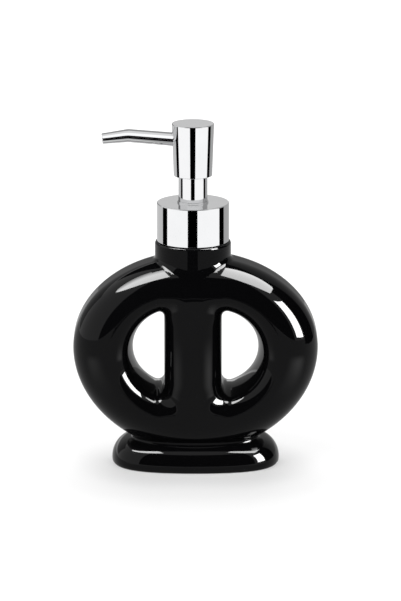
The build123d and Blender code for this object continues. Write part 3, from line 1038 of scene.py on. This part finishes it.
@dataclass
class Studio:
    """Floor, light, cards and camera, in metres and degrees.

    Azimuths count to the right of the camera's side. Front, gap, slit_left and slit_right are those of the
    dark front, of the black gap in the lit floor and of the black slits beside the bottle.
    """

    pieces: Sequence[Object]
    floor: FloorFinish = FloorFinish()
    focal_px: float = 4000.0
    frame_px: tuple[int, int] = (401, 601)
    sensor_mm: float = 36.0
    view_end: float = 50.0
    distance: float = 1.888
    elevation: float = 15.0
    target: Corner = (0.0, 0.0, 0.0567)
    target_px: Point = (195.55, 344.0)
    floor_half: float = 4.0
    floor_front: float = -1.6
    centre: float = 0.09
    ceiling: float = 0.6
    lamp_aim: Corner = (0.0, 0.0, 0.05)
    world_light: float = 0.35
    card_steps: int = 12
    front: Point = (-46.0, 52.0)
    front_distance: float = 0.95
    gap: Point = (-16.5, 14.0)
    slit_left: Point = (-111.0, -89.0)
    slit_right: Point = (92.0, 115.0)
    slit_reach: Point = (0.33, 0.8)
    lit_reach: Point = (0.36, 1.1)
    on_floor: float = 0.001
    over_floor: float = 0.002

    def camera(self) -> None:
        """Places the camera where the photograph was taken from."""
        e = math.radians(self.elevation)
        ahead = Vector((0.0, math.cos(e), -math.sin(e)))
        right = Vector((1.0, 0.0, 0.0))
        up = right.cross(ahead)
        eye = Vector(self.target) - ahead * self.distance
        scale = self.distance / self.focal_px
        aim = Vector(self.target)
        aim += right * (self.frame_px[0] / 2 - self.target_px[0]) * scale
        aim += up * (self.target_px[1] - self.frame_px[1] / 2) * scale
        data = bpy.data.cameras.new("camera")
        data.sensor_fit = "VERTICAL"
        data.sensor_height = self.sensor_mm
        data.lens = self.sensor_mm * self.focal_px / self.frame_px[1]
        data.clip_end = self.view_end
        camera = new_object("camera", data)
        camera.location = eye
        camera.rotation_euler = (aim - eye).to_track_quat("-Z", "Y").to_euler()
        bpy.context.scene.camera = camera

    def lay_floor(self) -> None:
        """Lays the floor under the bottle."""
        half, front = self.floor_half, self.floor_front
        corners = [(-half, front, 0), (half, front, 0), (half, half, 0), (-half, half, 0)]
        mesh_object("floor", corners, [(0, 1, 2, 3)], self.floor.material())

    def group(self, sight: Sight) -> Collection:
        """Finds the collection of the pieces that a card's glow reaches, made on its first use.

        Args:
            sight: which pieces are meant.
        Returns:
            The collection.
        """
        name = f"{sight.name.lower()}_pieces"
        known = bpy.data.collections.get(name)
        if known:
            return known
        made = bpy.data.collections.new(name)
        for piece in self.pieces:
            if piece.name in sight.value:
                made.objects.link(piece)
        return made

    def card(self, name: str, corners: Sequence[Corner], glow: GlowFinish,
             sight: Sight = Sight.EVERY) -> None:
        """Hangs a card that only mirror-like surfaces see, curved along its length.

        Args:
            name: the card's name.
            corners: start and end of its lower edge, then end and start of its upper edge, each as (azimuth,
                distance, height).
            glow: its brightness.
            sight: the pieces that its glow reaches.
        """
        steps = self.card_steps
        low_start, low_end, high_end, high_start = corners
        edges = []
        for start, end in ((low_start, low_end), (high_start, high_end)):
            edge = []
            for k in range(steps + 1):
                azimuth, distance, height = (a + (b - a) * k / steps for a, b in zip(start, end))
                turn = math.radians(azimuth)
                edge.append((distance * math.sin(turn), -distance * math.cos(turn), height))
            edges.append(edge)
        faces = [(k, k + 1, steps + 2 + k, steps + 1 + k) for k in range(steps)]
        card = mesh_object(name, edges[0] + edges[1], faces, glow.material(name))
        for ray in ("camera", "diffuse", "shadow", "transmission"):
            setattr(card, f"visible_{ray}", False)
        if sight is not Sight.EVERY:
            card.light_linking.receiver_collection = self.group(sight)

    def band(self, name: str, azimuths: Point, reaches: Point, heights: Point, glow: GlowFinish,
             sight: Sight) -> None:
        """Hangs a card whose two edges run between the same azimuths.

        Args:
            name, glow, sight: as for any card.
            azimuths: where it starts and ends.
            reaches, heights: distance and height of its lower or nearer edge, and of the other edge.
        """
        (start, end), (near, far), (low, high) = azimuths, reaches, heights
        corners = [(start, near, low), (end, near, low), (end, far, high), (start, far, high)]
        self.card(name, corners, glow, sight)

    def upright(self, name: str, azimuths: Point, elevations: Point, distance: float, glow: GlowFinish,
                sight: Sight = Sight.EVERY) -> None:
        """Stands a card around the bottle, between two elevations as seen from the bottle's centre."""
        low, high = (self.centre + distance * math.tan(math.radians(e)) for e in elevations)
        self.band(name, azimuths, (distance, distance), (low, high), glow, sight)

    def flat(self, name: str, azimuths: Point, reaches: Point, height: float, glow: GlowFinish,
             sight: Sight = Sight.EVERY) -> None:
        """Lays a card flat at a height above the floor, from a nearer to a farther edge."""
        self.band(name, azimuths, reaches, (height, height), glow, sight)

    def lamp(self, name: str, place: Corner, size: float, power: float) -> None:
        """Hangs one soft lamp that looks at the bottle.

        Args:
            name: the lamp's name.
            place: where it hangs.
            size: its side.
            power: its power in watts.
        """
        data = bpy.data.lights.new(name, "AREA")
        data.size = size
        data.energy = power
        lamp = new_object(name, data)
        lamp.location = place
        lamp.rotation_euler = (Vector(self.lamp_aim) - Vector(place)).to_track_quat("-Z", "Y").to_euler()
        lamp.visible_glossy = False

    def world(self) -> None:
        """Sets the white surroundings, white to the eye and in reflections, dimmer as light."""
        world = bpy.data.worlds.new("surroundings")
        bpy.context.scene.world = world
        world.use_nodes = True
        world.node_tree.nodes.clear()
        tree = Tree(world.node_tree)
        shown, _ = tree.shown_rays()
        bright = tree.ramp(shown, (0.0, 1.0), (self.world_light, 1.0))
        back = tree.add("ShaderNodeBackground", {"Color": (1, 1, 1, 1), "Strength": bright})
        tree.add("ShaderNodeOutputWorld", {"Surface": back.outputs[0]})

    def stand_cards(self) -> None:
        """Stands the upright cards: dark in front, grey behind, one bright strip on the right."""
        black = GlowFinish(0.0)
        sheen = GlowFinish(0.3, veil=True)
        bright = GlowFinish(80.0, veil=True)
        away = self.front_distance
        self.upright("front_low", self.front, (-3.0, 12.0), away, black)
        self.upright("front_mid", self.front, (12.0, 18.5), away, GlowFinish(1.1), Sight.STEM)
        self.upright("front_high", self.front, (18.5, 62.0), away, GlowFinish(1.5), Sight.TUBES)
        self.upright("dark_right", (83.0, 172.0), (-8.0, 60.0), 0.6, GlowFinish(0.5), Sight.PLATED)
        self.upright("sheen_right", (122.0, 188.0), (-8.3, 52.0), 0.59, sheen, Sight.GLAZED)
        self.upright("stripe_right", self.slit_right, (-8.8, -2.0), 0.58, black)
        self.upright("back_left", (-172.0, -120.0), (-2.0, 27.0), 0.6, GlowFinish(0.3))
        self.upright("back", (172.0, 188.0), (2.0, 30.0), 0.6, GlowFinish(0.7), Sight.PLATED)
        self.upright("back_high", (140.0, 220.0), (30.0, 74.0), 0.62, GlowFinish(0.4), Sight.PLATED)
        self.upright("bright_right", (59.0, 80.0), (0.0, 36.0), 0.8, bright, Sight.GLAZED)

    def lay_cards(self) -> None:
        """Lays the flat cards: a lit floor for the chrome, black in a gap ahead and in two side slits."""
        grey = GlowFinish(self.floor.mirror)
        lit = GlowFinish(0.88, veil=True)
        dim = GlowFinish(0.22, veil=True)
        under = GlowFinish(0.35, veil=True)
        low, high = self.on_floor, self.over_floor
        behind = (-180.0, self.slit_left[0])
        self.flat("floor_gap", self.gap, (0.2, 0.4), low, grey, Sight.GLAZED)
        self.flat("floor_gap_far", self.gap, (0.4, self.lit_reach[1]), low, GlowFinish(0.0))
        self.flat("plated_left", (self.slit_left[1], self.gap[0]), self.lit_reach, high, lit, Sight.PLATED)
        self.flat("plated_right", (self.gap[1], self.slit_right[0]), self.lit_reach, high, lit, Sight.PLATED)
        self.flat("plated_behind", behind, self.lit_reach, high, dim, Sight.PLATED)
        # A glowing veil just under the spout that only the spout mirrors: a painted reflection that lightens
        # its underside.
        self.flat("under_spout", (-135.0, -45.0), (0.02, 0.085), 0.115, under, Sight.SPOUT)
        self.flat("floor_left", self.slit_left, self.slit_reach, low, grey, Sight.GLAZED)
        self.flat("floor_right", self.slit_right, self.slit_reach, low, grey, Sight.GLAZED)

    def hang_cards(self) -> None:
        """Hangs the two bright cards overhead that the glazed shoulders mirror."""
        high = self.centre + self.ceiling
        self.card("bright_over_right", [(39.0, 0.225, high), (73.0, 0.61, high), (106.0, 0.61, high),
                                        (137.0, 0.24, high)], GlowFinish(34.0, veil=True), Sight.GLAZED)
        self.card("bright_over_left", [(-33.0, 0.27, high), (-93.0, 0.64, high), (-101.0, 0.6, high),
                                       (-124.0, 0.22, high)],
                  GlowFinish(38.0, veil=True, fade=(-0.02, 0.13)), Sight.GLAZED)

    def build(self) -> None:
        """Sets up the whole stage."""
        self.lay_floor()
        self.stand_cards()
        self.lay_cards()
        self.hang_cards()
        self.lamp("lamp_left", (-0.9, -0.8, 1.0), size=0.9, power=11.0)
        self.lamp("lamp_right", (0.9, -0.8, 1.0), size=0.9, power=7.0)
        self.lamp("lamp_back", (0.0, 0.9, 1.0), size=1.2, power=16.0)
        self.world()
        self.camera()
        bpy.context.scene.view_settings.view_transform = "Standard"


def main() -> None:
    """Builds the dispenser's looks and its studio."""
    logging.basicConfig(level=logging.INFO)
    dress_nodes()
    log.info("dressed %d nodes", len(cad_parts))
    plating = Plating()
    pieces = []
    for part in (Bottle(), Spout(), plating.collar(), plating.sleeve(), plating.head()):
        pieces.append(part.build())
        log.info("%s: %d faces", pieces[-1].name, len(pieces[-1].data.polygons))
    Studio(pieces).build()


if __name__ == "__main__":
    main()
